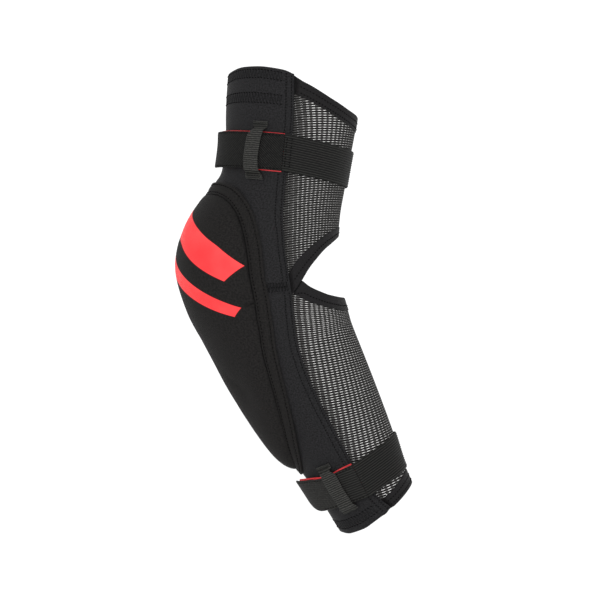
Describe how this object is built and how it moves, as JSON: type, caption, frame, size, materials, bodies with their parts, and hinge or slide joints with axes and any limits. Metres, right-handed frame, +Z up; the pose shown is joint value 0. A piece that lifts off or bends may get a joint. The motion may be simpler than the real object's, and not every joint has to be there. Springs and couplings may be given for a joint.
{
  "type": "elbow guard",
  "caption": "Bent pull-on elbow guard: neoprene and open net sleeve, padded elbow cap, open crook, and hook-tab elastic straps above and below.",
  "frame": {"origin": "inside the elbow, where the axes of the upper arm and the forearm cross", "axes": "+Z up along the upper arm, which leans towards +X; -X is the point of the elbow, +X its crook, and -Y the flank on which the straps close"},
  "size_m": [0.1653, 0.0892, 0.3215],
  "materials": {
    "neoprene": "matte jersey on foam rubber",
    "net": "open knitted net",
    "tape": "folded stretch binding",
    "pad_cover": "matte stretch knit with a red print",
    "elastic": "ribbed woven elastic",
    "tab": "twilled strap cloth",
    "hook": "moulded hook tape",
    "webbing": "ribbed woven webbing"
  },
  "bodies": {
    "root": {"sleeve_upper": "neoprene", "sleeve_lower": "neoprene", "net_upper": "net", "net_lower": "net", "net_top_hem": "tape", "net_bottom_hem": "tape", "crease_binding_upper": "tape", "crease_binding_lower": "tape", "elbow_pad": "pad_cover", "pad_border": "pad_cover", "strap_upper": "elastic", "tab_upper": "tab", "hook_upper": "hook", "keeper_upper": "webbing", "strap_lower": "elastic", "tab_lower": "tab", "hook_lower": "hook", "keeper_lower": "webbing"}
  },
  "joints": []
}
